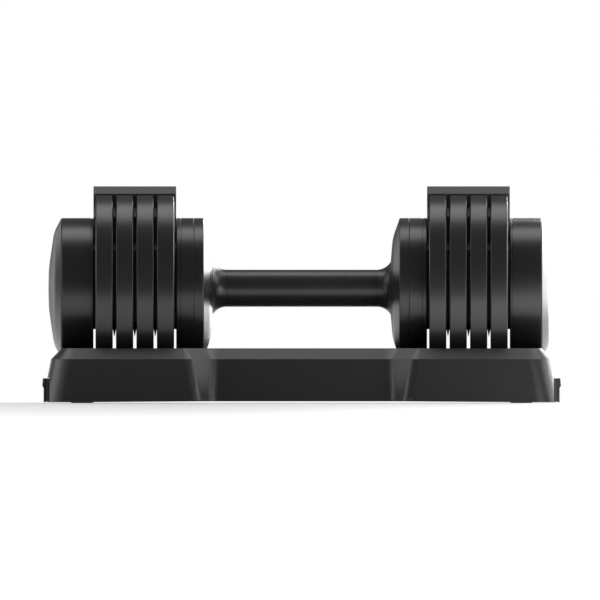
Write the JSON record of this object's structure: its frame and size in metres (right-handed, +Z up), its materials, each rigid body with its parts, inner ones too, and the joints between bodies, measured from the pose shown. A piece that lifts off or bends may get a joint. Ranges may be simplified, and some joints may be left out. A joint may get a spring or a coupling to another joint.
{
  "type": "adjustable dumbbell",
  "caption": "Adjustable dumbbell with a turning handle, stacks of round plates between round housings under a bridge, standing in a slotted storage tray.",
  "frame": {"origin": "middle of the tray's footprint, on the surface that its feet stand on", "axes": "+X along the handle, +Y away from the viewer, +Z up"},
  "size_m": [0.3806, 0.172, 0.1588],
  "materials": {
    "housing_black": "satin black moulded plastic with a fine grain",
    "bridge_black": "satin black moulded plastic",
    "plate_paint": "satin black powder coat on steel",
    "grip_black": "satin black with a fine texture",
    "steel": "turned steel",
    "ballast_iron": "plain casting",
    "nylon": "black nylon",
    "tray_black": "satin black moulded plastic with a fine grain",
    "tray_inner": "matte black moulded plastic",
    "clip_black": "semi-gloss black plastic",
    "foot_rubber": "soft black rubber"
  },
  "bodies": {
    "tray": {"tray_shell": "tray_black", "left_plate_cradle": "tray_inner", "right_plate_cradle": "tray_inner", "centre_deck": "tray_inner", "floor_pan": "tray_inner", "tray_feet": "foot_rubber", "tray_screws": "steel", "left_end_clip": "clip_black", "right_end_clip": "clip_black"},
    "dumbbell": {"core_tube": "steel", "bridge_screws": "steel", "ballast_screws": "steel", "left_bridge": "bridge_black", "left_inner_cover": "housing_black", "left_inner_housing": "housing_black", "left_hub": "steel", "left_outer_drum": "housing_black", "left_end_cap": "housing_black", "left_ballast_disc": "ballast_iron", "left_detent_ball": "steel", "left_detent_spring": "steel", "left_lock_spring": "steel", "left_divider_1": "bridge_black", "left_divider_2": "bridge_black", "left_divider_3": "bridge_black", "right_bridge": "bridge_black", "right_inner_cover": "housing_black", "right_inner_housing": "housing_black", "right_hub": "steel", "right_outer_drum": "housing_black", "right_end_cap": "housing_black", "right_ballast_disc": "ballast_iron", "right_detent_ball": "steel", "right_detent_spring": "steel", "right_lock_spring": "steel", "right_divider_1": "bridge_black", "right_divider_2": "bridge_black", "right_divider_3": "bridge_black"},
    "handle": {"grip_sleeve": "grip_black", "left_handle_flare": "grip_black", "left_cam_sleeve": "nylon", "left_lock_wheel": "nylon", "right_handle_flare": "grip_black", "right_cam_sleeve": "nylon", "right_lock_wheel": "nylon"},
    "left_rod": {"left_selector_rod": "steel", "left_follower_pin": "steel"},
    "left_lock": {"left_lock_bar": "nylon"},
    "left_plate_1_body": {"left_plate_1": "plate_paint"},
    "left_plate_2_body": {"left_plate_2": "plate_paint"},
    "left_plate_3_body": {"left_plate_3": "plate_paint"},
    "left_plate_4_body": {"left_plate_4": "plate_paint"},
    "right_rod": {"right_selector_rod": "steel", "right_follower_pin": "steel"},
    "right_lock": {"right_lock_bar": "nylon"},
    "right_plate_1_body": {"right_plate_1": "plate_paint"},
    "right_plate_2_body": {"right_plate_2": "plate_paint"},
    "right_plate_3_body": {"right_plate_3": "plate_paint"},
    "right_plate_4_body": {"right_plate_4": "plate_paint"}
  },
  "joints": [
    {"name": "dumbbell_lift", "type": "slide", "parent": "tray", "child": "dumbbell", "axis": [0, 0, 1], "range_m": [0, 0.2]},
    {"name": "handle_turn", "type": "hinge", "parent": "dumbbell", "child": "handle", "pos_m": [0, 0, 0.084], "axis": [1, 0, 0], "range_deg": [0, 240]},
    {"name": "left_rod_slide", "type": "slide", "parent": "dumbbell", "child": "left_rod", "axis": [1, 0, 0], "range_m": [0, 0.0601]},
    {"name": "right_rod_slide", "type": "slide", "parent": "dumbbell", "child": "right_rod", "axis": [1, 0, 0], "range_m": [-0.0601, 0]},
    {"name": "left_lock_drop", "type": "slide", "parent": "dumbbell", "child": "left_lock", "axis": [0, 0, -1], "range_m": [0, 0.006], "deforming": ["left_lock_spring"]},
    {"name": "right_lock_drop", "type": "slide", "parent": "dumbbell", "child": "right_lock", "axis": [0, 0, -1], "range_m": [0, 0.006], "deforming": ["right_lock_spring"]},
    {"name": "left_plate_1_lift", "type": "slide", "parent": "tray", "child": "left_plate_1_body", "axis": [0, 0, 1], "range_m": [0, 0.2]},
    {"name": "left_plate_2_lift", "type": "slide", "parent": "tray", "child": "left_plate_2_body", "axis": [0, 0, 1], "range_m": [0, 0.2]},
    {"name": "left_plate_3_lift", "type": "slide", "parent": "tray", "child": "left_plate_3_body", "axis": [0, 0, 1], "range_m": [0, 0.2]},
    {"name": "left_plate_4_lift", "type": "slide", "parent": "tray", "child": "left_plate_4_body", "axis": [0, 0, 1], "range_m": [0, 0.2]},
    {"name": "right_plate_1_lift", "type": "slide", "parent": "tray", "child": "right_plate_1_body", "axis": [0, 0, 1], "range_m": [0, 0.2]},
    {"name": "right_plate_2_lift", "type": "slide", "parent": "tray", "child": "right_plate_2_body", "axis": [0, 0, 1], "range_m": [0, 0.2]},
    {"name": "right_plate_3_lift", "type": "slide", "parent": "tray", "child": "right_plate_3_body", "axis": [0, 0, 1], "range_m": [0, 0.2]},
    {"name": "right_plate_4_lift", "type": "slide", "parent": "tray", "child": "right_plate_4_body", "axis": [0, 0, 1], "range_m": [0, 0.2]}
  ],
  "couplings": [
    {"joint": "left_rod_slide", "follows": "handle_turn", "m_per_rad": 0.014324},
    {"joint": "right_rod_slide", "follows": "handle_turn", "m_per_rad": -0.014324},
    {"joint": "left_lock_drop", "follows": "dumbbell_lift", "ratio": 0.03},
    {"joint": "right_lock_drop", "follows": "dumbbell_lift", "ratio": 0.03},
    {"joint": "left_plate_1_lift", "follows": "dumbbell_lift", "ratio": 1},
    {"joint": "left_plate_2_lift", "follows": "dumbbell_lift", "ratio": 1},
    {"joint": "left_plate_3_lift", "follows": "dumbbell_lift", "ratio": 1},
    {"joint": "left_plate_4_lift", "follows": "dumbbell_lift", "ratio": 1},
    {"joint": "right_plate_1_lift", "follows": "dumbbell_lift", "ratio": 1},
    {"joint": "right_plate_2_lift", "follows": "dumbbell_lift", "ratio": 1},
    {"joint": "right_plate_3_lift", "follows": "dumbbell_lift", "ratio": 1},
    {"joint": "right_plate_4_lift", "follows": "dumbbell_lift", "ratio": 1}
  ]
}
